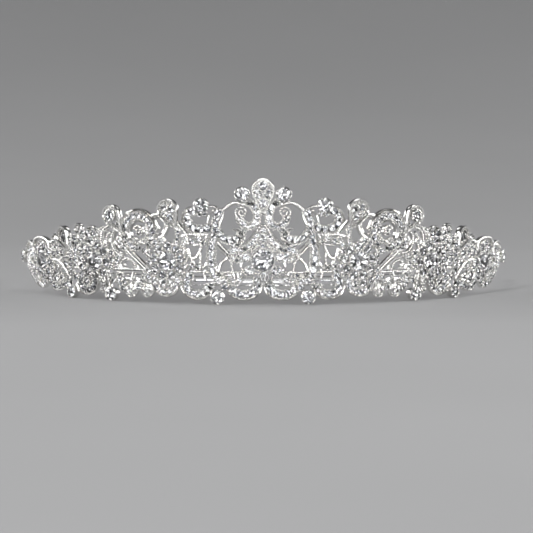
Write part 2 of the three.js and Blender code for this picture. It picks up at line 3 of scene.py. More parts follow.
import bpy
import numpy as np
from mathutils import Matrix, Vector


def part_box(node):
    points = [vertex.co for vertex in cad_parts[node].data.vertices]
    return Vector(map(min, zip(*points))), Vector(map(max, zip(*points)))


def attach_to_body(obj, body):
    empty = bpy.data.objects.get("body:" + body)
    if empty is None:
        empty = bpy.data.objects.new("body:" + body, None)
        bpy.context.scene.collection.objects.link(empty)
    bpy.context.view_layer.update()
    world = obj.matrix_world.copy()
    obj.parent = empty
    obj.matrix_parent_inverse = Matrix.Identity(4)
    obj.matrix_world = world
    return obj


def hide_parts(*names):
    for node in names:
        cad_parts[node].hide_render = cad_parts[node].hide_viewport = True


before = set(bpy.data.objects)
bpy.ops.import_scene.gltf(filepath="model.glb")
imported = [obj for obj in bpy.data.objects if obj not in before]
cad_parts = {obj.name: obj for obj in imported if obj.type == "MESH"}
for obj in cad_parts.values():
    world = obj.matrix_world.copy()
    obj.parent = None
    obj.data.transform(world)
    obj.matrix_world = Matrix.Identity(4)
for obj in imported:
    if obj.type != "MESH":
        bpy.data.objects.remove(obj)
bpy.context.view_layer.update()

# Everything is drawn flat in millimetres, as s along the curve from the centre front, z up and t out of
# the curve, and wrapped round a vertical cylinder into the frame's metres.
MM = 0.001
FACE_RADIUS = 78.0  # of the curve that t is measured from

# The band and the eyelets on its ends.
BAND_RADIUS = 77.05
BAND_INNER = 76.05
BAND_HEIGHT = 2.1
BAND_HALF_ANGLE = math.radians(95)
BAND_SEGMENT = math.radians(190 / 61)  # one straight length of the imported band
BAND_STEPS = 260
BAND_BEVEL = 0.18
EYELET_RADIUS = 2.6
EYELET_HOLE = 1.2
EYELET_GAP = 0.25  # between the band's end and the ring
EYELET_BEVEL = 0.16
EYELET_SIDES = 40

# The castings: heights are values of t.
PATH_STEP = 0.5
CURVE_STEPS = 24  # fine steps between two given points of a smooth path
BACK = -0.7
BEVEL = 0.12
WALL = 0.42  # thickness of a channel's wall
WALL_TOP = 0.38
CHANNEL_FLOOR = -0.52
PAVE_GIRDLE = 0.42
PAVE_GAP = 0.02  # between neighbours in a channel
MILGRAIN = 0.45  # pitch of a grained edge
MILGRAIN_SIZE = 0.2
GRAINED_WIRE = 0.75  # wires from this width up are grained
PAVE_LEAN = 0.15  # most that a stone leans, as a slope
GEM_TOP = 0.7
GEM_GIRDLE = 0.5
GEM_FLOOR = -0.45
GEM_STONE = 0.95  # a gem's stone radius as a share of its collar's bore
GEM_LEAN = 0.05
STONE_LEAN = 0.03
SEAT_TOP = 1.05
COLLAR_WALL = 0.4
BEZEL_GIRDLE = 1.0
RIM_TOP = 1.3

# Half sizes of claws, grains and beads: (away from the stone, round it, out of the curve).
PAVE_CLAW = (0.32, 0.32, 0.42)
GEM_GRAIN = (0.22, 0.22, 0.3)
COLLAR_CLAW = (0.42, 0.24, 0.24)
SEAT_CLAW = (0.24, 0.24, 0.3)
CUP_CLAW = (0.42, 0.24, 0.3)
SCROLL_BEAD = (0.34, 0.34, 0.3)

# The stones in cups.
CUP_STONE = 0.86  # a cup's stone radius as a share of the cup's radius
CUP_BORE = 0.6  # a cup's open back as a share of its stone's radius
CUP_GIRDLE = 1.35
CUP_SHOULDER = 1.62  # where the lip turns in and the claws sit
CUP_LIP = 1.7
CUP_SIDES = 36

# Material slots: of a casting's metal and the painted shade on it, and of stones.
POLISHED = 0
PAINTED_SHADE = 1
CROWN = 0
FOIL = 1

SIDES = (("left", -1), ("right", 1))  # with the sign of s

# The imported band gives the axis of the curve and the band's height above the ground.
band_low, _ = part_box("headband")
ARC_Y = band_low.y / MM + BAND_RADIUS * math.cos(BAND_SEGMENT / 2)
BAND_MIDDLE = band_low.z / MM + BAND_HEIGHT / 2
BAND_FRONT = BAND_RADIUS - FACE_RADIUS  # t of its outer face
BAND_BACK = BAND_INNER - FACE_RADIUS  # t of its inner face
BAND_END = BAND_HALF_ANGLE * FACE_RADIUS  # s of its right end

chance = np.random.RandomState(7)


# ---- from the flat drawing to the frame ----
def wrapped(points):
    """Flat (s, z, t) points as points of the frame."""
    flat = np.asarray(points, float)
    angle = flat[:, 0] / FACE_RADIUS
    radius = FACE_RADIUS + flat[:, 2]
    across = radius * np.sin(angle)
    deep = ARC_Y - radius * np.cos(angle)
    return np.stack([across, deep, flat[:, 1]], axis=1) * MM


def smooth_path(points, step=PATH_STEP, closed=False):
    """A smooth curve through the points, as evenly spaced points."""
    given = np.asarray(points, float)
    count = len(given)
    spans = count if closed else count - 1
    dense = []
    for i in range(spans):
        if closed:
            a, b, c, d = (given[(i + k) % count] for k in (-1, 0, 1, 2))
        else:
            a, b = given[max(i - 1, 0)], given[i]
            c, d = given[i + 1], given[min(i + 2, count - 1)]
        for u in np.linspace(0, 1, CURVE_STEPS, endpoint=False):
            curve = 2 * b + (c - a) * u
            curve += (2 * a - 5 * b + 4 * c - d) * u**2
            curve += (3 * b - a - 3 * c + d) * u**3
            dense.append(0.5 * curve)
    dense.append(given[0] if closed else given[-1])
    dense = np.array(dense)
    lengths = np.concatenate([[0], np.cumsum(np.linalg.norm(np.diff(dense, axis=0), axis=1))])
    pieces = max(2, int(round(lengths[-1] / step)))
    wanted = np.linspace(0, lengths[-1], pieces + 1)
    path = np.stack([np.interp(wanted, lengths, dense[:, k]) for k in (0, 1)], axis=1)
    return path[:-1] if closed else path


def arc_points(radius, s, z, start, end, every=30):
    """Points on an arc round (s, z), from the start to the end angle, at most so many degrees apart."""
    count = max(2, int(math.ceil(abs(end - start) / every)))
    angles = np.radians(np.linspace(start, end, count + 1))
    return [(s + radius * math.cos(a), z + radius * math.sin(a)) for a in angles]


def ring_points(count, s, z, reach, first=0.0):
    """(s, z, angle) of evenly spaced points on a circle round (s, z), from the first angle on."""
    for i in range(count):
        angle = first + 2 * math.pi * i / count
        yield s + reach * math.cos(angle), z + reach * math.sin(angle), angle


def sideways(path, closed=False):
    """The unit vector to the left of the path at each of its points."""
    if closed:
        along = np.roll(path, -1, axis=0) - np.roll(path, 1, axis=0)
    else:
        along = np.gradient(path, axis=0)
    along /= np.linalg.norm(along, axis=1)[:, None]
    return np.stack([-along[:, 1], along[:, 0]], axis=1)


class Shape:
    """Vertices and faces gathered into one object."""

    def __init__(self):
        self.vertices = []
        self.faces = []
        self.face_slots = []
        self.count = 0

    def add(self, vertices, faces, slots):
        self.vertices.append(vertices)
        self.faces.extend([tuple(i + self.count for i in face) for face in faces])
        self.face_slots.extend(slots)
        self.count += len(vertices)

    def sweep(self, path, profile, closed=False, taper=None, shaded=()):
        """The closed profile (across, t) carried along the path; its shaded sides get painted shade."""
        side = sideways(path, closed)
        across = np.array([p[0] for p in profile])
        out = np.array([p[1] for p in profile])
        scale = np.ones(len(path)) if taper is None else taper
        flat = []
        for i in range(len(path)):
            spots = path[i] + side[i] * (across * scale[i])[:, None]
            flat.append(np.column_stack([spots, out]))
        around = len(profile)
        rows = len(path)
        faces = []
        slots = []
        for i in range(rows if closed else rows - 1):
            k = (i + 1) % rows
            for j in range(around):
                m = (j + 1) % around
                faces.append((i * around + j, i * around + m, k * around + m, k * around + j))
                # The shaded sides get the painted shade slot.
                slots.append(PAINTED_SHADE if j in shaded else POLISHED)
        if not closed:
            faces.append(tuple(reversed(range(around))))
            faces.append(tuple((rows - 1) * around + j for j in range(around)))
            slots += [POLISHED, POLISHED]
        self.add(wrapped(np.concatenate(flat)), faces, slots)

    def place(self, template, s, z, t, size, spin=0.0, tilt=(0.0, 0.0)):
        """A copy of the template, scaled but not bent, that stands out of the curve at (s, z, t)."""
        vertices, faces, slots = template
        local = vertices * np.asarray(size)
        cos, sin = math.cos(spin), math.sin(spin)
        turned = local @ np.array([[cos, sin, 0], [-sin, cos, 0], [0, 0, 1]])
        lean = np.array([tilt[0], tilt[1], 1.0])
        lean /= np.linalg.norm(lean)
        right = np.array([lean[2], 0, -lean[0]])
        right /= np.linalg.norm(right)
        up = np.cross(lean, right)
        turned = turned @ np.array([right, up, lean])
        angle = s / FACE_RADIUS
        along = np.array([math.cos(angle), math.sin(angle), 0])
        outward = np.array([math.sin(angle), -math.cos(angle), 0])
        centre = np.array([0, ARC_Y, z]) + outward * (FACE_RADIUS + t)
        world = centre + turned @ np.array([along, [0, 0, 1], outward])
        self.add(world * MM, faces, slots)

    def build(self, name, materials, smooth=True, sharp_angle=38):
        mesh = bpy.data.meshes.new(name)
        mesh.from_pydata(np.concatenate(self.vertices).tolist(), [], self.faces)
        for material in materials:
            mesh.materials.append(material)
        mesh.polygons.foreach_set("material_index", self.face_slots)
        mesh.polygons.foreach_set("use_smooth", [smooth] * len(mesh.polygons))
        mesh.update()
        if smooth:
            mesh.set_sharp_from_angle(angle=math.radians(sharp_angle))
        thing = bpy.data.objects.new(name, mesh)
        bpy.context.scene.collection.objects.link(thing)
        return thing


# ---- templates: cut stones and beads, in units of their own radius, and turned metal ----
def circle(radius, height, count, offset=0.0):
    """Evenly spaced points on a level circle, turned by the offset angle."""
    angles = offset + np.arange(count) * 2 * math.pi / count
    return np.column_stack([radius * np.cos(angles), radius * np.sin(angles), np.full(count, height)])


def turned(profile, count):
    """The closed profile (radius, t) turned about the t axis, in millimetres."""
    vertices = []
    for i in range(count):
        angle = 2 * math.pi * i / count
        vertices += [(r * math.cos(angle), r * math.sin(angle), t) for r, t in profile]
    around = len(profile)
    faces = []
    for i in range(count):
        k = (i + 1) % count
        for j in range(around):
            m = (j + 1) % around
            faces.append((i * around + j, k * around + j, k * around + m, i * around + m))
    return np.array(vertices), faces, [POLISHED] * len(faces)


def brilliant():
    """A full round brilliant.

    Its table, stars, kites and halves stand over a girdle, and foiled mains and halves lie under it.
    """
    half_step = math.pi / 8
    table = circle(0.56, 0.40, 8)
    star = circle(0.79, 0.24, 8, half_step)
    girdle = circle(1.0, 0.05, 16)
    under = circle(1.0, -0.02, 16)
    lower = circle(0.30, -0.60, 8, half_step)
    culet = np.array([[0, 0, -0.84]])
    vertices = np.concatenate([table, star, girdle, under, lower, culet])
    # Where each ring's corners start in the list of all corners.
    table_at, star_at, girdle_at, under_at, lower_at, culet_at = 0, 8, 16, 32, 48, 56
    faces = [tuple(range(8))]
    for i in range(8):
        n = (i + 1) % 8
        mains, half, following = 2 * i, 2 * i + 1, (2 * i + 2) % 16
        faces.append((table_at + i, star_at + i, table_at + n))
        faces.append((table_at + i, star_at + (i - 1) % 8, girdle_at + mains, star_at + i))
        faces.append((star_at + i, girdle_at + mains, girdle_at + half))
        faces.append((star_at + i, girdle_at + half, girdle_at + following))
    for j in range(16):
        k = (j + 1) % 16
        faces.append((girdle_at + j, under_at + j, under_at + k, girdle_at + k))
    slots = [CROWN] * len(faces)
    for i in range(8):
        mains, half, following = 2 * i, 2 * i + 1, (2 * i + 2) % 16
        faces.append((under_at + half, under_at + mains, lower_at + i))
        faces.append((under_at + following, under_at + half, lower_at + i))
        faces.append((under_at + mains, lower_at + (i - 1) % 8, culet_at, lower_at + i))
        slots += [FOIL] * 3
    return vertices, faces, slots


def single_cut():
    """The simple cut of small stones: a table and eight crown facets over eight foiled ones."""
    table = circle(0.58, 0.36, 8)
    girdle = circle(1.0, 0.0, 8)
    vertices = np.concatenate([table, girdle, [[0, 0, -0.84]]])
    girdle_at, culet_at = 8, 16
    faces = [tuple(range(8))]
    slots = [CROWN]
    for i in range(8):
        n = (i + 1) % 8
        faces.append((i, girdle_at + i, girdle_at + n, n))
        slots.append(CROWN)
    for i in range(8):
        faces.append((girdle_at + (i + 1) % 8, girdle_at + i, culet_at))
        slots.append(FOIL)
    return vertices, faces, slots


def bead():
    """A round bead with six sides."""
    rings = [circle(math.sin(a), math.cos(a), 6, a) for a in (0.75, 1.5, 2.3)]
    vertices = np.concatenate([[[0, 0, 1]], *rings, [[0, 0, -1]]])
    faces = []
    for i in range(6):
        n = (i + 1) % 6
        faces.append((0, 1 + i, 1 + n))
        faces.append((1 + i, 7 + i, 7 + n, 1 + n))
        faces.append((7 + i, 13 + i, 13 + n, 7 + n))
        faces.append((13 + i, 19, 13 + n))
    return vertices, faces, [POLISHED] * len(faces)


def grain():
    """A low round-topped stub that sits with its foot sunk in the metal."""
    foot = circle(1.0, -0.8, 6)
    shoulder = circle(0.92, 0.35, 6, 0.52)
    vertices = np.concatenate([foot, shoulder, [[0, 0, 1.0]]])
    faces = [tuple(reversed(range(6)))]
    for i in range(6):
        n = (i + 1) % 6
        faces.append((i, n, 6 + i))
        faces.append((n, 6 + n, 6 + i))
        faces.append((6 + i, 6 + n, 12))
    return vertices, faces, [POLISHED] * len(faces)


BRILLIANT = brilliant()
SINGLE_CUT = single_cut()
BEAD = bead()
# A bead all in painted shade, laid as the floor under a gem's stone.
PAINTED_SHADE_BEAD = (BEAD[0], BEAD[1], [PAINTED_SHADE] * len(BEAD[1]))
GRAIN = grain()


# ---- profiles (across, t), counter-clockwise ----
def channel_profile(width):
    """A trough with a flat floor between two walls."""
    half = width / 2
    inner = half - WALL
    right = [
        (half - BEVEL, BACK), (half, BACK + BEVEL), (half, WALL_TOP - 0.08), (half - 0.08, WALL_TOP),
        (inner, WALL_TOP), (inner, CHANNEL_FLOOR),
    ]
    return right + [(-a, t) for a, t in reversed(right)]


CHANNEL_INSIDE = (4, 5, 6)  # the sides of channel_profile from one inner lip to the other, which get painted shade


def wall_profile(width, top):
    """A plain wall, bevelled at the foot and narrowed at the top."""
    half = width / 2
    right = [(half - BEVEL, BACK), (half, BACK + BEVEL), (half, top - 0.15), (0.5 * half, top)]
    return right + [(-a, t) for a, t in reversed(right)]


WALL_INSIDE = (0, 1, 2)  # the sides of wall_profile that face the stone, which get painted shade


def rim_profile(width, top):
    """A wall whose sides are drawn in between two round edges, like two wires laid one on the other."""
    half = width / 2
    waist = (BACK + top) / 2
    right = [
        (half - BEVEL, BACK), (half, BACK + BEVEL), (half, waist - 0.3), (half - 0.16, waist),
        (half, waist + 0.3), (half, top - 0.2), (0.45 * half, top),
    ]
    return right + [(-a, t) for a, t in reversed(right)]


def dome_profile(width, top=0.5):
    """A wire with a rounded top."""
    half = width / 2
    right = [(half - BEVEL, BACK), (half, BACK + BEVEL), (half, top - 0.4), (0.72 * half, top - 0.12)]
    return right + [(0, top)] + [(-a, t) for a, t in reversed(right)]


def strand_profile(count, width):
    """Parallel round ridges with grooves between them."""
    half = width / 2
    top = [(half, BACK + BEVEL), (half, 0.15)]
    ridge = width / count
    for i in range(count):
        peak = half - (i + 0.5) * ridge
        top += [(peak + 0.25 * ridge, 0.5), (peak - 0.25 * ridge, 0.5)]
        if i < count - 1:
            top.append((peak - 0.5 * ridge, 0.22))
    top += [(-half, 0.15), (-half, BACK + BEVEL)]
    return [(half - BEVEL, BACK)] + top + [(-half + BEVEL, BACK)]


# ---- motifs: each returns draw(metal, stones, flip), which mirrors it where flip is -1 ----
def along_path(path, pitch, ends=False):
    """Evenly spaced (s, z, side s, side z) along the path, about a pitch apart.

    They start half a pitch in, or at the path's ends.
    """
    steps = np.linalg.norm(np.diff(path, axis=0), axis=1)
    lengths = np.concatenate([[0], np.cumsum(steps)])
    side = sideways(path)
    count = max(1, int(round(lengths[-1] / pitch)))
    wanted = np.arange(count + 1) if ends else np.arange(count) + 0.5
    wanted = wanted * lengths[-1] / count
    lines = (path[:, 0], path[:, 1], side[:, 0], side[:, 1])
    return np.column_stack([np.interp(wanted, lengths, line) for line in lines])


def spaced(path, pitch):
    """Evenly spaced (s, z) along the path, starting half a pitch in."""
    return along_path(path, pitch)[:, :2]


def drawn(points, flip, step=PATH_STEP):
    """The smooth path through a motif's points, mirrored where flip is -1."""
    return smooth_path([(flip * s, z) for s, z in points], step)


def random_lean(most):
    """A tilt to the side and up or down, each at most so steep."""
    return tuple(chance.uniform(-most, most, 2))


def milled(metal, path, spread, height):
    """A row of grains each side of the path, the rows a spread apart."""
    for edge in (-1, 1):
        line = path + sideways(path) * edge * spread / 2
        for s, z in spaced(line, MILGRAIN):
            metal.place(GRAIN, s, z, height, (MILGRAIN_SIZE, MILGRAIN_SIZE, MILGRAIN_SIZE * 1.1))


def pave(width, *points):
    """A channel of small stones with a pair of claws between neighbours and a grained edge each side."""
    def draw(metal, stones, flip):
        path = drawn(points, flip)
        # The channel's inside is painted shade.
        metal.sweep(path, channel_profile(width), shaded=CHANNEL_INSIDE)
        radius = width / 2 - WALL + 0.02
        pitch = 2 * radius + PAVE_GAP
        for s, z in spaced(path, pitch):
            lean = random_lean(PAVE_LEAN)
            stones.place(BRILLIANT, s, z, PAVE_GIRDLE, radius, chance.uniform(0, 3), lean)
        for s, z, side_s, side_z in along_path(path, pitch, ends=True):
            for edge in (-1, 1):
                off = edge * (radius - 0.18)
                metal.place(GRAIN, s + side_s * off, z + side_z * off, PAVE_GIRDLE, PAVE_CLAW)
        milled(metal, path, width - WALL, WALL_TOP)
    return draw


def wire(width, *points, top=0.5):
    """A round-topped wire, with a line of grains along its crest where it is thick enough for them."""
    def draw(metal, stones, flip):
        path = drawn(points, flip)
        metal.sweep(path, dome_profile(width, top))
        if width >= GRAINED_WIRE:
            size = min(0.3 * width, 0.3)
            for s, z in spaced(path, 2.1 * size):
                metal.place(GRAIN, s, z, top - 0.06, (size, size, 0.24))
    return draw


def strands(count, width, *points):
    """Wires side by side, every second one grained along its crest."""
    def draw(metal, stones, flip):
        path = drawn(points, flip)
        metal.sweep(path, strand_profile(count, width))
        side = sideways(path)
        ridge = width / count
        for i in range(1, count, 2):
            line = path + side * (width / 2 - (i + 0.5) * ridge)
            for s, z in spaced(line, 0.6):
                metal.place(GRAIN, s, z, 0.42, (0.42 * ridge, 0.42 * ridge, 0.2))
    return draw


def leaf_tip(count, width, *points):
    """A grooved leaf that narrows from its foot to its tip."""
    def draw(metal, stones, flip):
        path = drawn(points, flip, 0.3)
        metal.sweep(path, strand_profile(count, width), taper=np.linspace(1.0, 0.4, len(path)))
    return draw


def scroll(turns, radius, s, z, start):
    """A wire coiled in towards the middle of a leaf's curl."""
    def draw(metal, stones, flip):
        angles = np.radians(start + np.linspace(0, 360 * turns, int(16 * turns)))
        reach = np.linspace(radius, 0.35, len(angles))
        points = [(s + r * math.cos(a), z + r * math.sin(a)) for r, a in zip(reach, angles)]
        coil = drawn(points, flip, 0.35)
        metal.sweep(coil, dome_profile(0.6, 0.7))
        for bead_s, bead_z in spaced(coil, 0.62):
            metal.place(BEAD, bead_s, bead_z, 0.6, SCROLL_BEAD)
    return draw


def beaded(width, *points):
    """A row of beads on a low wire."""
    def draw(metal, stones, flip):
        path = drawn(points, flip)
        metal.sweep(path, dome_profile(width * 0.8, 0.25))
        for s, z in spaced(path, width * 0.8):
            metal.place(BEAD, s, z, 0.22, width * 0.46)
    return draw


def gem(radius, s, z, wall=0.3, grains=5):
    """A small stone in a round collar, with grains raised over its edge."""
    def draw(metal, stones, flip):
        here = flip * s
        loop = smooth_path(arc_points(radius + wall / 2, here, z, 0, 330), 0.55, closed=True)
        # The collar's inner side and the disc under the stone are painted shade.
        metal.sweep(loop, wall_profile(wall, GEM_TOP), closed=True, shaded=WALL_INSIDE)
        metal.place(PAINTED_SHADE_BEAD, here, z, GEM_FLOOR, (radius + 0.1, radius + 0.1, 0.25))
        lean = random_lean(GEM_LEAN)
        stones.place(BRILLIANT, here, z, GEM_GIRDLE, GEM_STONE * radius, chance.uniform(0, 3), lean)
        turn = chance.uniform(0, 1)
        for grain_s, grain_z, _ in ring_points(grains, here, z, radius + 0.02, turn):
            metal.place(BEAD, grain_s, grain_z, GEM_TOP, GEM_GRAIN)
    return draw


def collar(radius, s, z):
    """The raised collar round a flower's centre stone, with eight claws."""
    def draw(metal, stones, flip):
        here = flip * s
        points = arc_points(radius + COLLAR_WALL / 2, here, z, 0, 345, 15)
        loop = smooth_path(points, closed=True)
        # The collar's inner side is painted shade.
        metal.sweep(loop, wall_profile(COLLAR_WALL, RIM_TOP - 0.15), closed=True, shaded=WALL_INSIDE)
        for claw_s, claw_z, angle in ring_points(8, here, z, radius - 0.05, math.pi / 8):
            metal.place(BEAD, claw_s, claw_z, RIM_TOP - 0.1, COLLAR_CLAW, angle)
    return draw


def seat(radius, s, z):
    """The collar of a medallion or petal stone, with four claws."""
    def draw(metal, stones, flip):
        here = flip * s
        loop = smooth_path(arc_points(radius + 0.18, here, z, 0, 330), closed=True)
        # The seat's inner side is painted shade.
        metal.sweep(loop, wall_profile(0.3, SEAT_TOP), closed=True, shaded=WALL_INSIDE)
        for claw_s, claw_z, _ in ring_points(4, here, z, radius, math.pi / 4):
            metal.place(BEAD, claw_s, claw_z, SEAT_TOP, SEAT_CLAW)
    return draw


def ring(width, radius, s, z):
    """A raised loop of doubled wire."""
    def draw(metal, stones, flip):
        loop = smooth_path(arc_points(radius, flip * s, z, 0, 330), closed=True)
        metal.sweep(loop, rim_profile(width, RIM_TOP - 0.4), closed=True)
    return draw


def drop(width, radius, s, z, tip_s, tip_z):
    """A tall drop-shaped loop: a polished outer wall with a finer, lower and grained wire inside it."""
    reach = math.hypot(tip_s - s, tip_z - z)
    toward = math.atan2(tip_z - z, tip_s - s)
    open_angle = math.acos(radius / reach)
    start = math.degrees(toward + open_angle)
    end = math.degrees(toward - open_angle) + 360

    def outline(inset, flip):
        points = arc_points(radius - inset, s, z, start, end, 20)
        shorter = reach - inset / math.cos(open_angle)
        points.append((s + shorter * math.cos(toward), z + shorter * math.sin(toward)))
        return smooth_path([(flip * a, b) for a, b in points], 0.45, closed=True)

    def draw(metal, stones, flip):
        metal.sweep(outline(0, flip), rim_profile(width, RIM_TOP), closed=True)
        wire_loop = outline(width * 0.9, flip)
        wire_top = RIM_TOP - 0.45
        metal.sweep(wire_loop, rim_profile(width * 0.45, wire_top), closed=True)
        milled(metal, wire_loop, width * 0.9, wire_top + 0.02)
    return draw


def cluster(radius, s, z):
    """A domed boss covered in small stones."""
    def draw(metal, stones, flip):
        here = flip * s
        metal.place(BEAD, here, z, -0.1, (radius, radius, 0.8))
        loop = smooth_path(arc_points(radius - 0.15, here, z, 0, 330), closed=True)
        metal.sweep(loop, wall_profile(0.3, 0.45), closed=True)
        small = radius * 0.31
        stones.place(SINGLE_CUT, here, z, 0.95, small * 1.05, chance.uniform(0, 3))
        for stone_s, stone_z, angle in ring_points(6, here, z, radius * 0.62, math.pi / 6):
            lean = (0.5 * math.cos(angle), 0.5 * math.sin(angle))
            stones.place(SINGLE_CUT, stone_s, stone_z, 0.68, small, chance.uniform(0, 3), lean)
        for bead_s, bead_z, _ in ring_points(6, here, z, radius * 0.55, math.pi / 3):
            metal.place(BEAD, bead_s, bead_z, 0.72, 0.2)
    return draw


def petals(count, radius, reach, s, z, wall):
    """Petal stones in a ring round a flower's collar."""
    def draw(metal, stones, flip):
        for petal_s, petal_z, _ in ring_points(count, s, z, reach, math.pi / 2):
            gem(radius, petal_s, petal_z, wall, 4)(metal, stones, flip)
    return draw


# ---- the castings: the right half, and the middle of the centre casting ----
# Every point is (s, z). A list makes a casting's metal and its small stones.
CENTRE_HALF = [
    pave(2.5, (4.4, 31.0), (3.0, 29.8), (2.0, 28.0), (1.8, 26.0), (2.4, 24.3), (4.2, 23.4)),
    pave(2.5, (7.3, 26.4), (6.6, 24.9), (5.2, 23.8), (4.0, 23.4)),
    pave(1.9, (3.6, 30.3), (5.2, 30.6)),
    scroll(1.6, 2.0, 6.4, 27.7, -70),
    wire(1.2, (5.4, 29.9), (8.3, 30.6), (10.3, 29.7), (12.2, 28.1), top=0.75),
    leaf_tip(3, 2.0, (6.5, 20.6), (6.8, 21.7), (7.7, 22.4), (9.2, 22.6)),
    gem(0.8, 5.6, 22.4),
    pave(2.6, (6.7, 22.0), (6.8, 20.6), (8.3, 19.6), (10.6, 19.4), (12.5, 20.4), (13.7, 22.2)),
    wire(0.5, (5.3, 22.2), (5.3, 20.2), (6.4, 18.7), (8.4, 17.9)),
    gem(0.7, 7.4, 18.2),
    gem(0.75, 9.1, 17.9),
    wire(0.55, (0.2, 24.4), (1.2, 23.2), (1.9, 21.6), top=0.3),
    pave(2.1, (1.5, 21.4), (2.5, 19.6), (4.0, 17.9), (6.1, 16.2)),
    pave(1.7, (1.5, 18.4), (2.7, 17.4), (3.9, 16.1)),
    wire(0.4, (2.2, 22.3), (3.5, 20.4), (5.0, 18.8), (6.4, 17.9), top=0.8),
    pave(2.2, (6.0, 16.2), (7.6, 16.6), (9.2, 16.1), (10.5, 14.8)),
    pave(1.8, (6.3, 13.4), (7.6, 13.3), (9.0, 13.8), (10.4, 14.6)),
    gem(0.8, 6.9, 14.9),
    strands(2, 1.7, (10.2, 14.6), (12.3, 16.6), (14.2, 18.5)),
    wire(0.8, (13.4, 10.0), (12.5, 12.4), (10.9, 13.7), (9.6, 12.6), (9.2, 10.0), top=0.3),
    wire(0.7, (5.6, 9.8), (6.6, 11.0), (6.2, 12.6)),
    beaded(0.75, (1.8, 9.3), (5.0, 9.6), (7.5, 9.7), (11.0, 9.6), (13.9, 9.4)),
    wire(0.45, (2.6, 8.2), (5.0, 8.3), (8.0, 8.3), (11.0, 8.2), (14.0, 8.1)),
    pave(1.4, (9.6, 6.2), (11.0, 8.0), (12.8, 9.4)),
    wire(0.6, (9.4, 9.6), (8.6, 8.2), (8.4, 5.4), top=0.2),
    wire(0.6, (4.2, 9.4), (5.0, 8.2), (5.6, 9.4)),
    wire(0.6, (6.4, 9.4), (7.2, 8.2), (7.8, 9.4)),
    gem(0.6, 10.2, 8.9),
    gem(0.7, 7.0, 7.4),
    gem(0.8, 11.6, 6.9),
    pave(2.9, (1.7, 8.0), (1.6, 5.9), (2.9, 3.9), (5.3, 2.95), (7.9, 3.4), (9.9, 4.9)),
    wire(0.4, (0.3, 5.2), (1.4, 2.9), (3.4, 1.7), (5.4, 1.35), (7.9, 1.75), (10.3, 3.2), top=0.7),
    gem(0.95, 11.4, 5.2),
]

CENTRE_MIDDLE = [
    drop(0.6, 3.2, 0, 34.45, 0, 27.7),
    gem(1.25, 0, 20.0),
    gem(0.75, 0, 22.3),
    gem(0.6, 0, 17.6),
    gem(0.6, 0, 27.6),
]

STEM = [
    gem(1.1, 13.4, 27.5, 0.42, 6),
    pave(
        2.5, (14.0, 26.6), (14.3, 24.2), (14.3, 22.2), (14.9, 20.0), (15.5, 17.0), (15.7, 14.0),
        (15.5, 11.4), (15.0, 9.4), (14.3, 7.8),
    ),
    wire(0.5, (11.7, 28.3), (12.0, 26.3), (12.7, 24.6), (13.0, 22.8), top=0.8),
    wire(0.6, (13.9, 28.9), (15.0, 28.2), (15.9, 27.0), (16.5, 25.4), (16.8, 23.8), top=0.8),
    wire(0.8, (13.9, 29.0), (15.0, 29.4), (16.4, 29.6)),
    wire(0.45, (13.7, 20.6), (14.0, 17.2), (14.1, 13.6), (13.9, 11.4), top=0.7),
    wire(0.45, (16.5, 20.6), (17.0, 17.2), (17.1, 14.0), (16.9, 11.6), top=0.7),
    pave(
        2.8, (20.4, 28.1), (22.2, 27.6), (23.0, 25.7), (22.3, 23.7), (20.3, 22.7), (17.8, 22.6),
        (15.8, 23.3),
    ),
    wire(0.45, (20.2, 29.6), (22.9, 28.9), (24.6, 26.8), (24.5, 24.4), (23.4, 22.6), top=0.8),
    gem(0.6, 17.5, 27.1),
    gem(0.5, 19.2, 26.9),
    strands(2, 1.8, (26.0, 24.8), (24.4, 23.0), (22.8, 20.9)),
    wire(1.2, (16.4, 21.0), (19.4, 20.7), (22.6, 20.9), (24.8, 20.2)),
    gem(0.75, 19.5, 19.6),
    gem(0.7, 17.9, 18.7),
    gem(0.85, 21.7, 18.9),
    pave(1.8, (23.0, 20.2), (23.9, 18.8), (24.4, 17.2)),
    wire(0.7, (16.6, 22.2), (17.2, 20.0), (18.8, 18.6)),
    wire(1.0, (18.6, 18.4), (19.0, 16.2), (20.0, 14.3), (21.3, 13.7), (22.5, 14.6), (23.3, 16.6)),
    wire(0.8, (18.9, 18.0), (21.2, 17.7), (23.4, 18.4)),
    wire(0.8, (19.2, 15.6), (18.9, 13.4), (19.4, 11.4)),
    wire(0.9, (16.9, 12.6), (17.8, 11.2), (19.4, 10.6), (20.9, 11.6), (21.9, 13.4)),
    gem(0.9, 19.5, 11.3),
    gem(0.7, 21.6, 11.6),
    gem(0.7, 21.9, 9.9),
    beaded(0.75, (16.4, 9.6), (18.0, 9.7), (20.5, 9.7), (22.2, 9.5)),
    wire(0.45, (16.0, 8.2), (18.6, 8.3), (21.4, 8.2)),
    wire(0.8, (17.2, 10.4), (17.9, 9.2), (17.6, 7.9)),
    pave(2.8, (16.3, 5.5), (17.5, 3.7), (20.2, 2.95), (22.6, 3.9), (23.4, 5.9), (22.8, 7.9), (21.8, 9.2)),
    wire(0.4, (15.5, 3.9), (17.3, 2.0), (20.3, 1.35), (23.5, 2.6), (25.0, 5.2), top=0.7),
    gem(0.95, 13.5, 7.0),
    gem(0.95, 15.6, 5.4),
    gem(0.75, 13.2, 9.0),
]

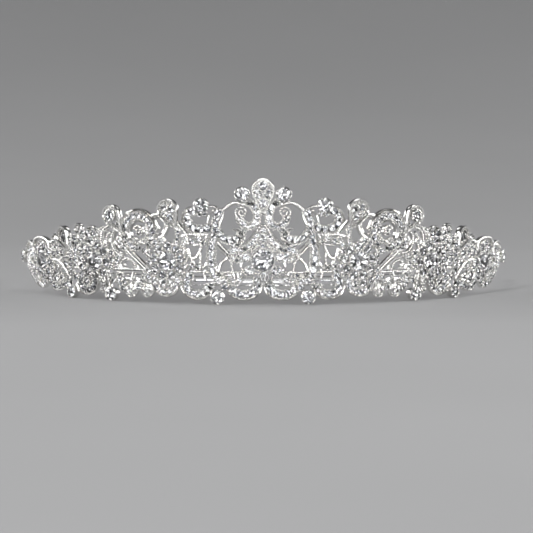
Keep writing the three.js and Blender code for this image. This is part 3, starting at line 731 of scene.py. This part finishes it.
FLOWER = [
    drop(0.6, 3.05, 29.4, 28.3, 27.2, 23.0),
    gem(1.15, 27.9, 28.7),
    gem(1.05, 30.5, 29.0),
    gem(1.1, 28.5, 26.1),
    gem(0.6, 30.7, 26.9),
    gem(0.55, 29.3, 30.7),
    pave(1.8, (27.1, 24.2), (26.3, 22.4), (26.2, 20.4), (26.6, 17.8)),
    wire(1.1, (28.9, 25.0), (29.6, 22.6), (30.7, 20.6), (32.2, 19.6)),
    wire(1.2, (31.8, 26.3), (33.0, 26.8), (34.6, 26.4), top=0.7),
    wire(0.6, (31.4, 25.7), (33.0, 25.7), (34.4, 25.0)),
    wire(0.7, (30.8, 25.8), (30.3, 23.4), (31.0, 21.4), (32.9, 20.6)),
    gem(0.6, 33.2, 22.6),
    petals(9, 1.2, 4.5, 29.4, 12.8, 0.36),
    collar(2.8, 29.4, 12.8),
    gem(0.75, 31.2, 18.9),
    gem(0.8, 33.4, 18.3),
    gem(0.8, 24.3, 15.9),
    gem(0.7, 23.6, 13.6),
    gem(0.65, 23.9, 11.4),
    gem(0.75, 25.0, 9.0),
    gem(0.95, 28.1, 5.9),
    gem(1.2, 30.9, 6.1),
    gem(1.0, 33.5, 6.9),
    gem(0.85, 33.9, 9.2),
    gem(0.8, 35.6, 7.9),
    gem(0.8, 35.8, 9.8),
    gem(0.75, 35.4, 12.2),
    gem(0.8, 35.4, 14.4),
    pave(2.4, (26.3, 7.6), (26.3, 5.5), (27.6, 4.0), (29.8, 3.4), (32.0, 3.9), (33.6, 5.2)),
    wire(0.4, (25.1, 6.2), (26.3, 3.6), (28.0, 2.4), (29.8, 2.1), (32.4, 2.7), (34.3, 4.5), top=0.7),
    cluster(2.3, 36.2, 3.8),
]

SPIRAL = [
    pave(2.6, *arc_points(4.95, 39.6, 21.4, 232, -95)),
    wire(0.4, *arc_points(6.35, 39.6, 21.4, 225, -60), top=0.85),
    wire(0.45, *arc_points(6.85, 39.6, 21.4, 165, -20), top=0.6),
    gem(0.95, 35.3, 17.4),
    gem(0.9, 37.0, 15.7),
    pave(1.7, *arc_points(2.75, 38.8, 21.1, 130, 320)),
    wire(0.5, *arc_points(3.1, 39.2, 21.6, 120, -50), top=0.8),
    scroll(1.1, 1.5, 39.3, 21.9, 10),
    gem(0.9, 38.9, 21.3),
    ring(0.6, 1.15, 39.9, 18.0),
    strands(3, 2.3, (43.4, 15.6), (41.6, 14.0), (38.9, 11.9), (36.6, 9.9)),
    pave(2.3, (46.9, 19.4), (45.0, 17.1), (42.8, 15.0)),
    strands(2, 1.2, (44.9, 21.2), (46.9, 21.9), (48.8, 20.3), (48.9, 17.6), (47.2, 15.1), (44.6, 14.4)),
    wire(0.7, (45.4, 19.6), (46.8, 19.6), (47.2, 18.0), (46.2, 16.4), (44.9, 16.0)),
    strands(2, 1.2, (40.3, 9.8), (41.4, 12.1), (43.5, 12.9), (45.2, 11.9), (44.9, 10.6), (43.9, 10.5)),
    pave(2.0, (45.4, 14.4), (46.9, 13.3), (47.4, 11.4), (46.9, 9.6)),
    gem(0.85, 49.2, 14.7),
    gem(0.85, 49.2, 12.5),
    gem(0.75, 49.3, 10.5),
    strands(2, 1.3, (36.2, 9.5), (41.0, 9.6), (46.0, 9.5), (48.6, 9.4)),
    wire(0.45, (37.2, 8.3), (41.0, 8.4), (46.0, 8.3), (48.6, 8.2)),
    pave(1.8, (37.0, 9.2), (37.7, 7.4), (38.3, 5.9)),
    cluster(2.4, 41.9, 3.7),
    wire(0.9, (41.9, 5.4), (41.7, 7.4), (41.2, 9.2)),
    pave(2.2, (44.5, 3.5), (45.9, 5.1), (46.4, 7.2), (46.3, 9.0)),
    gem(0.8, 39.0, 4.6),
    gem(0.75, 44.2, 6.0),
    gem(0.75, 48.3, 6.4),
    drop(0.6, 2.95, 49.3, 26.2, 45.2, 21.2),
    gem(0.65, 46.6, 23.7),
    pave(1.4, (45.9, 22.6), (45.0, 21.2), (44.6, 19.8)),
]

SIDE_FLOWER = [
    strands(2, 1.3, (49.2, 22.6), (51.2, 22.3), (52.9, 20.5), (53.1, 18.0), (52.4, 16.0)),
    strands(2, 1.1, (49.6, 20.8), (51.0, 19.4), (50.8, 17.6), (51.4, 15.8)),
    pave(1.8, (51.4, 22.0), (53.4, 21.7), (55.2, 20.8)),
    ring(0.6, 2.85, 57.8, 19.6),
    gem(1.13, 56.6, 20.3),
    gem(1.08, 59.0, 20.3),
    gem(1.18, 57.8, 18.2),
    gem(1.4, 54.7, 17.1),
    petals(8, 1.3, 4.5, 55.7, 11.8, 0.36),
    collar(2.7, 55.7, 11.8),
    ring(0.7, 1.45, 63.8, 21.5),
    gem(0.55, 63.8, 21.5),
    gem(0.93, 61.6, 20.4),
    pave(2.3, (60.4, 18.3), (62.4, 18.5), (63.5, 17.0), (63.2, 15.0), (61.6, 13.9)),
    gem(1.03, 60.9, 16.2),
    wire(1.0, (63.8, 20.2), (63.6, 18.4)),
    pave(2.3, (64.4, 17.4), (65.2, 14.8), (65.3, 12.2), (64.7, 9.6)),
    gem(1.08, 62.3, 12.3),
    gem(0.98, 61.9, 10.0),
    gem(0.98, 65.5, 18.6),
    wire(0.45, (49.0, 9.9), (51.4, 9.4)),
    wire(0.45, (49.0, 8.4), (51.6, 8.0)),
    beaded(0.9, (60.4, 9.3), (62.0, 9.4), (65.2, 9.3)),
    wire(0.8, (49.9, 4.2), (50.4, 6.4), (51.2, 8.4)),
    ring(0.7, 1.35, 52.2, 3.7),
    gem(0.6, 52.2, 3.7),
    gem(0.88, 52.6, 6.2),
    wire(0.9, (52.4, 4.8), (53.0, 6.4), (54.2, 7.2)),
    pave(
        2.7, (56.3, 6.8), (56.3, 4.8), (57.6, 3.3), (59.6, 2.8), (61.7, 3.5), (62.7, 5.2), (62.3, 7.2),
        (61.6, 8.6),
    ),
    wire(0.4, (54.7, 6.0), (55.5, 3.2), (57.4, 1.8), (59.6, 1.3), (62.4, 2.0), (64.3, 4.2), top=0.7),
    gem(1.13, 59.6, 5.5),
    gem(0.93, 64.6, 6.6),
    wire(0.8, (63.4, 5.4), (64.4, 4.4), (64.9, 3.8)),
]

END = [
    drop(0.7, 2.6, 71.6, 19.2, 68.6, 15.2),
    gem(1.5, 71.0, 18.5),
    ring(0.7, 1.4, 76.8, 17.7),
    gem(0.55, 76.8, 17.7),
    gem(0.93, 68.2, 18.2),
    gem(0.93, 74.8, 19.0),
    pave(2.2, (67.0, 16.7), (69.4, 15.5), (73.4, 15.7), (77.4, 15.1), (79.2, 13.6)),
    pave(2.3, (67.8, 15.4), (67.5, 13.0), (67.5, 9.6), (68.0, 6.6)),
    wire(1.0, (67.8, 5.8), (70.4, 8.4), (74.0, 10.8), (78.6, 11.2)),
    strands(2, 1.2, (68.6, 12.4), (71.4, 12.2), (74.0, 10.8)),
    gem(1.13, 71.6, 13.6),
    gem(1.03, 74.6, 13.6),
    gem(0.98, 77.0, 13.0),
    gem(1.03, 69.9, 10.4),
    gem(0.98, 71.9, 6.1),
    gem(0.93, 77.8, 8.9),
    beaded(0.9, (67.8, 9.3), (70.4, 9.2), (73.0, 8.8)),
    pave(2.6, (68.0, 4.4), (70.6, 3.9), (73.6, 2.9), (76.8, 2.9), (79.0, 4.5), (80.0, 6.4)),
    gem(1.23, 75.2, 5.4),
    pave(1.8, (74.2, 10.8), (75.2, 6.6)),
    petals(8, 1.3, 4.35, 83.8, 10.4, 0.34),
    collar(2.6, 83.8, 10.4),
    wire(0.8, (79.8, 13.6), (81.0, 16.6), (85.0, 17.7), (90.0, 17.4), (93.6, 15.4), (93.8, 12.6), top=0.9),
    wire(0.7, (82.6, 15.0), (86.0, 16.4), (90.0, 15.9), (92.6, 13.4)),
    gem(1.03, 86.6, 15.6),
    gem(1.03, 89.6, 14.4),
    wire(0.8, (93.9, 14.6), (97.6, 15.9), (101.4, 14.8), (103.4, 12.4), top=0.9),
    gem(1.03, 95.6, 13.9),
    gem(0.98, 98.6, 13.2),
    pave(2.3, (88.6, 11.3), (91.6, 12.1), (96.0, 11.9), (99.4, 11.0), (102.2, 10.6)),
    pave(2.2, (88.4, 7.8), (91.4, 7.7), (95.6, 8.7), (99.2, 10.0)),
    pave(2.3, (82.4, 4.8), (83.8, 3.3), (86.8, 2.9), (91.0, 3.8), (95.0, 5.7), (98.8, 7.6), (102.4, 9.3)),
    gem(1.03, 88.6, 5.4),
    gem(0.98, 91.6, 5.8),
    gem(0.93, 91.4, 9.9),
    wire(1.0, (88.0, 7.4), (89.0, 5.2), (89.4, 3.2)),
    wire(1.0, (90.4, 12.0), (91.4, 10.0), (91.2, 7.8)),
]

SIDE_CASTINGS = [
    ("stem", STEM),
    ("flower", FLOWER),
    ("spiral", SPIRAL),
    ("side_flower", SIDE_FLOWER),
    ("end", END),
]

# (name, radius of the cup, s, z)
CUPS = [
    ("top", 2.4, 6.15, 33.2),
    ("shoulder", 2.4, 18.5, 29.7),
    ("crest", 1.95, 49.2, 26.1),
    ("front_foot", 2.25, 13.5, 2.25),
    ("middle_foot", 2.1, 48.8, 2.1),
    ("rear_foot", 2.0, 65.9, 2.0),
    ("end", 2.1, 104.4, 10.7),
]

# (name, radius of the stone, s, z)
FLOWER_STONES = [
    ("front_flower_stone", 2.8, 29.4, 12.8),
    ("side_flower_stone", 2.7, 55.7, 11.8),
    ("rear_flower_stone", 2.6, 83.8, 10.4),
]

CENTRE_STONES = [
    ("centre_flower_stone", 3.3, 0, 13.4),
    ("medallion_top_stone", 1.35, 0, 35.8),
    ("medallion_left_stone", 1.3, -1.65, 33.2),
    ("medallion_right_stone", 1.3, 1.65, 33.2),
    ("medallion_bottom_stone", 1.25, 0, 30.6),
    ("petal_bottom_stone", 1.45, 0, 8.3),
    ("petal_lower_left_stone", 1.4, -4.0, 10.2),
    ("petal_lower_right_stone", 1.4, 4.0, 10.2),
    ("petal_upper_left_stone", 1.15, -5.1, 14.2),
    ("petal_upper_right_stone", 1.15, 5.1, 14.2),
]


# ---- materials ----
def new_material(name):
    material = bpy.data.materials.new(name)
    material.use_nodes = True
    tree = material.node_tree
    return material, tree, tree.nodes["Principled BSDF"]


def noise(tree, scale, detail=4.0):
    """A noise texture fixed to the object."""
    coordinates = tree.nodes.new("ShaderNodeTexCoord")
    texture = tree.nodes.new("ShaderNodeTexNoise")
    texture.inputs["Scale"].default_value = scale
    texture.inputs["Detail"].default_value = detail
    tree.links.new(coordinates.outputs["Object"], texture.inputs["Vector"])
    return texture


def ranged(tree, socket, low, high, start=0.3, end=0.7):
    """The socket's values from start to end, spread from low to high."""
    limits = tree.nodes.new("ShaderNodeMapRange")
    limits.inputs["From Min"].default_value = start
    limits.inputs["From Max"].default_value = end
    limits.inputs["To Min"].default_value = low
    limits.inputs["To Max"].default_value = high
    tree.links.new(socket, limits.inputs["Value"])
    return limits.outputs["Result"]


# The Mix node's sockets for a colour, which share their names with those for numbers.
MIX_FACTOR = 0
MIX_FIRST = 6
MIX_SECOND = 7
MIX_RESULT = 2


def mixed_colour(tree, factor, first, second):
    mix = tree.nodes.new("ShaderNodeMix")
    mix.data_type = "RGBA"
    mix.inputs[MIX_FIRST].default_value = (*first, 1)
    mix.inputs[MIX_SECOND].default_value = (*second, 1)
    tree.links.new(factor, mix.inputs[MIX_FACTOR])
    return mix.outputs[MIX_RESULT]


def plated_metal(name, painted_hollow_shade, bright, rough_low, rough_high, grain):
    """Plating darkened towards its hollows by painted shade, at its own bright colour on convex edges,
    with a fine cast grain.
    """
    material, tree, shader = new_material(name)
    shader.inputs["Metallic"].default_value = 1.0
    geometry = tree.nodes.new("ShaderNodeNewGeometry")
    # Pointiness lays painted shade into the hollows and leaves the plating's own colour on convex edges.
    hollow_shade_mask = ranged(tree, geometry.outputs["Pointiness"], 0.0, 1.0, 0.42, 0.56)
    tree.links.new(mixed_colour(tree, hollow_shade_mask, painted_hollow_shade, bright), shader.inputs["Base Color"])
    smear = noise(tree, 260.0)
    tree.links.new(ranged(tree, smear.outputs["Fac"], rough_low, rough_high), shader.inputs["Roughness"])
    bump = tree.nodes.new("ShaderNodeBump")
    bump.inputs["Strength"].default_value = 0.25
    bump.inputs["Distance"].default_value = 0.00003
    tree.links.new(noise(tree, grain, 2.0).outputs["Fac"], bump.inputs["Height"])
    tree.links.new(bump.outputs["Normal"], shader.inputs["Normal"])
    return material


def crystal_crown():
    """Clear cut glass with the faintest cool and warm patches and a polished skin."""
    material, tree, shader = new_material("crystal_crown")
    shader.inputs["Transmission Weight"].default_value = 1.0
    shader.inputs["IOR"].default_value = 1.6
    tint = ranged(tree, noise(tree, 420.0, 1.0).outputs["Fac"], 0.0, 1.0)
    colour = mixed_colour(tree, tint, (0.96, 0.975, 1.0), (1.0, 1.0, 0.99))
    tree.links.new(colour, shader.inputs["Base Color"])
    polish = noise(tree, 900.0, 2.0)
    tree.links.new(ranged(tree, polish.outputs["Fac"], 0.0, 0.02), shader.inputs["Roughness"])
    return material


def foil_back():
    """The mirror foil behind a stone: silver, with darker patches where it has crept."""
    material, tree, shader = new_material("foil_back")
    shader.inputs["Metallic"].default_value = 1.0
    patches = ranged(tree, noise(tree, 1500.0, 1.0).outputs["Fac"], 0.0, 1.0, 0.36, 0.46)
    colour = mixed_colour(tree, patches, (0.30, 0.31, 0.34), (0.97, 0.97, 0.97))
    tree.links.new(colour, shader.inputs["Base Color"])
    creep = noise(tree, 1500.0, 2.0)
    tree.links.new(ranged(tree, creep.outputs["Fac"], 0.02, 0.07), shader.inputs["Roughness"])
    return material


METAL_GRAIN = 2600.0

# Each plating's first colour is painted shade for its hollows, its second the plating's own colour.
PLATED = plated_metal("plated_metal", (0.05, 0.05, 0.05), (0.90, 0.895, 0.875), 0.12, 0.26, METAL_GRAIN)
# This one is painted shade all through, for the insides of channels and collars and the floors under gems.
PAINTED_SHADE_METAL = plated_metal("painted_shade_metal", (0.02, 0.02, 0.02), (0.14, 0.14, 0.14), 0.25, 0.45, METAL_GRAIN)
BAND = plated_metal("band_metal", (0.55, 0.55, 0.57), (0.84, 0.84, 0.85), 0.16, 0.30, 900.0)
STONE_MATERIALS = [crystal_crown(), foil_back()]


# ---- pieces ----
def attach(piece, slot, *nodes):
    """Rides the piece on the only body and hides the CAD nodes that it stands for; the slot is not used.
    """
    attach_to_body(piece, "root")
    if nodes:
        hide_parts(*nodes)


def make_casting(name, motifs):
    """motifs is a list of (motif, +1 or -1): drawn as given or mirrored."""
    metal = Shape()
    stones = Shape()
    for motif, flip in motifs:
        motif(metal, stones, flip)
    # The metal's second material is painted shade, on the insides of channels and collars and under gems.
    attach(metal.build(name + "_metal", [PLATED, PAINTED_SHADE_METAL]), "plated_metal", name)
    attach(stones.build(name + "_pave", STONE_MATERIALS, smooth=False), "crystal")


def make_stone(name, radius, s, z, girdle):
    stone = Shape()
    spin = chance.uniform(0, 1)
    stone.place(BRILLIANT, s, z, girdle, radius, spin, random_lean(STONE_LEAN))
    attach(stone.build(name, STONE_MATERIALS, smooth=False), "crystal", name.replace("_cut", ""))


def make_cup(name, radius, s, z):
    """A collet with a thin raised lip and six claws, open behind the stone."""
    stone_radius = radius * CUP_STONE
    bore = stone_radius * CUP_BORE
    profile = [
        (bore, BACK), (radius * 0.88, BACK), (radius * 0.96, 0.4), (radius, CUP_GIRDLE),
        (radius, CUP_SHOULDER), (radius - 0.12, CUP_LIP), (stone_radius + 0.05, CUP_LIP - 0.12),
        (stone_radius + 0.02, CUP_GIRDLE - 0.15), (bore, 0.2),
    ]
    cup = Shape()
    cup.place(turned(profile, CUP_SIDES), s, z, t=0, size=1.0)
    for claw_s, claw_z, angle in ring_points(6, s, z, stone_radius + 0.02, math.pi / 6):
        cup.place(BEAD, claw_s, claw_z, CUP_SHOULDER, CUP_CLAW, angle)
    attach(cup.build(name + "_body", [PLATED]), "plated_metal", name)


def make_headband():
    """The flat strip, with its four long edges bevelled."""
    half = BAND_HEIGHT / 2
    right = [
        (half - BAND_BEVEL, BAND_BACK), (half, BAND_BACK + BAND_BEVEL), (half, BAND_FRONT - BAND_BEVEL),
        (half - BAND_BEVEL, BAND_FRONT),
    ]
    profile = right + [(-a, t) for a, t in reversed(right)]
    path = np.column_stack([
        np.linspace(-BAND_END, BAND_END, BAND_STEPS), np.full(BAND_STEPS, BAND_MIDDLE),
    ])
    band = Shape()
    band.sweep(path, profile)
    attach(band.build("headband_strip", [BAND], sharp_angle=60), "band_metal", "headband")


def make_eyelet(name, sign):
    """A flat bevelled ring past the end of the band, with its hole for a hairpin."""
    profile = [
        (EYELET_HOLE, BAND_BACK + EYELET_BEVEL), (EYELET_HOLE + EYELET_BEVEL, BAND_BACK),
        (EYELET_RADIUS - EYELET_BEVEL, BAND_BACK), (EYELET_RADIUS, BAND_BACK + EYELET_BEVEL),
        (EYELET_RADIUS, BAND_FRONT - EYELET_BEVEL), (EYELET_RADIUS - EYELET_BEVEL, BAND_FRONT),
        (EYELET_HOLE + EYELET_BEVEL, BAND_FRONT), (EYELET_HOLE, BAND_FRONT - EYELET_BEVEL),
    ]
    vertices, faces, slots = turned(profile, EYELET_SIDES)
    vertices[:, 0] += sign * (EYELET_RADIUS + EYELET_GAP)
    eyelet = Shape()
    eyelet.place((vertices, faces, slots), sign * BAND_END, BAND_MIDDLE, t=0, size=1.0)
    attach(eyelet.build(name + "_ring", [BAND], sharp_angle=60), "band_metal", name)


def make_centre():
    """The centre casting, mirrored about its middle, and the stones set in it."""
    middle_motifs = [(motif, 1) for motif in CENTRE_HALF + CENTRE_MIDDLE]
    middle_motifs += [(motif, -1) for motif in CENTRE_HALF]
    flower_stone, *small_stones = CENTRE_STONES
    middle_motifs.append((collar(*flower_stone[1:]), 1))
    middle_motifs += [(seat(*stone[1:]), 1) for stone in small_stones]
    make_casting("centre_casting", middle_motifs)
    for name, radius, s, z in CENTRE_STONES:
        make_stone(name + "_cut", radius, s, z, BEZEL_GIRDLE)


def make_side(word, sign):
    """The eyelet, castings, cups and stones of one side."""
    make_eyelet(word + "_end_eyelet", sign)
    for kind, motifs in SIDE_CASTINGS:
        make_casting(f"{word}_{kind}_casting", [(motif, sign) for motif in motifs])
    for kind, radius, s, z in CUPS:
        make_cup(f"{word}_{kind}_cup", radius, sign * s, z)
        make_stone(f"{word}_{kind}_stone_cut", radius * CUP_STONE, sign * s, z, CUP_GIRDLE)
    for kind, radius, s, z in FLOWER_STONES:
        make_stone(f"{word}_{kind}_cut", radius, sign * s, z, BEZEL_GIRDLE)


def build_tiara():
    make_headband()
    make_centre()
    for word, sign in SIDES:
        make_side(word, sign)


# ---- floor, lights and camera, in metres ----
FLOOR_REACH = 4.0
FLOOR_FRONT = -3.0
BEND_START = 0.25
BEND = 1.5
BACKDROP_TOP = 3.0


def paper_floor():
    material, tree, shader = new_material("paper_floor")
    shader.inputs["Roughness"].default_value = 0.9
    tint = ranged(tree, noise(tree, 3.0, 3.0).outputs["Fac"], 0.0, 1.0)
    colour = mixed_colour(tree, tint, (0.33, 0.33, 0.334), (0.36, 0.36, 0.364))
    tree.links.new(colour, shader.inputs["Base Color"])
    return material


def make_stage():
    """A floor that bends up into the backdrop behind the tiara."""
    rows = [(FLOOR_FRONT, 0.0), (BEND_START, 0.0)]
    for angle in np.linspace(0.03, math.pi / 2, 48):
        rows.append((BEND_START + BEND * math.sin(angle), BEND - BEND * math.cos(angle)))
    rows.append((BEND_START + BEND, BACKDROP_TOP))
    vertices = []
    for y, z in rows:
        vertices += [(-FLOOR_REACH, y, z), (FLOOR_REACH, y, z)]
    faces = [(2 * i, 2 * i + 1, 2 * i + 3, 2 * i + 2) for i in range(len(rows) - 1)]
    mesh = bpy.data.meshes.new("backdrop")
    mesh.from_pydata(vertices, [], faces)
    mesh.materials.append(paper_floor())
    mesh.polygons.foreach_set("use_smooth", [True] * len(mesh.polygons))
    backdrop = bpy.data.objects.new("backdrop", mesh)
    bpy.context.scene.collection.objects.link(backdrop)


def aim(thing, target):
    direction = Vector(target) - thing.location
    thing.rotation_euler = direction.to_track_quat("-Z", "Y").to_euler()


LIGHT_TARGET = (0, 0, 0.015)


def add_light(name, place, width, height, power):
    """A soft rectangular light that faces the tiara; its power is in watts."""
    lamp = bpy.data.lights.new(name, "AREA")
    lamp.shape = "RECTANGLE"
    lamp.size = width
    lamp.size_y = height
    lamp.energy = power
    thing = bpy.data.objects.new(name, lamp)
    thing.location = place
    bpy.context.scene.collection.objects.link(thing)
    aim(thing, LIGHT_TARGET)


def add_light_pair(kind, place, width, height, power):
    """The same light on the left and on the right; the place is that of the right one."""
    across, deep, up = place
    for word, sign in SIDES:
        add_light(f"{word}_{kind}", (sign * across, deep, up), width, height, power)


def make_lights():
    add_light("key_softbox", (-0.50, -0.85, 0.65), 0.24, 0.24, 4.28)
    add_light("fill_softbox", (0.65, -0.75, 0.50), 0.16, 0.26, 2.23)
    add_light("left_front_panel", (-0.34, -1.25, 0.28), 0.14, 0.18, 0.84)
    add_light("right_front_panel", (0.36, -1.25, 0.24), 0.14, 0.18, 0.84)
    add_light("high_front_panel", (0.0, -1.20, 0.52), 0.22, 0.10, 0.84)
    add_light("near_left_panel", (-0.13, -1.30, 0.19), 0.10, 0.08, 0.28)
    add_light("near_right_panel", (0.15, -1.30, 0.13), 0.08, 0.10, 0.24)
    add_light("low_panel", (0.0, -1.20, 0.03), 0.50, 0.05, 0.28)
    add_light_pair("panel", (0.95, -0.95, 0.30), 0.18, 0.24, 1.86)
    add_light("top_softbox", (0.0, 0.0, 0.85), 0.9, 0.30, 2.23)
    add_light_pair("wide", (1.10, -0.60, 0.24), 0.22, 0.22, 2.42)
    add_light_pair("side", (1.00, -0.10, 0.28), 0.38, 0.26, 2.8)
    add_light_pair("rim", (0.80, 0.42, 0.34), 0.38, 0.30, 2.4)


def make_world():
    """A faint even light from all round, and colours shown as they are."""
    world = bpy.data.worlds.new("studio")
    world.use_nodes = True
    background = world.node_tree.nodes["Background"]
    background.inputs["Color"].default_value = (0.97, 0.98, 1.0, 1)
    background.inputs["Strength"].default_value = 0.05
    bpy.context.scene.world = world
    bpy.context.scene.view_settings.view_transform = "Standard"


CAMERA_DISTANCE = 0.8
CAMERA_ELEVATION = math.radians(4.0)
CAMERA_TARGET_X = 0.00105
CAMERA_TARGET_Z = 0.0115


def make_camera():
    data = bpy.data.cameras.new("camera")
    data.sensor_width = 36
    data.lens = 180
    data.clip_end = 20
    camera = bpy.data.objects.new("camera", data)
    target = (CAMERA_TARGET_X, (ARC_Y - FACE_RADIUS) * MM, CAMERA_TARGET_Z)
    camera.location = (
        target[0],
        target[1] - CAMERA_DISTANCE * math.cos(CAMERA_ELEVATION),
        target[2] + CAMERA_DISTANCE * math.sin(CAMERA_ELEVATION),
    )
    bpy.context.scene.collection.objects.link(camera)
    aim(camera, target)
    bpy.context.scene.camera = camera


build_tiara()
make_stage()
make_lights()
make_world()
make_camera()
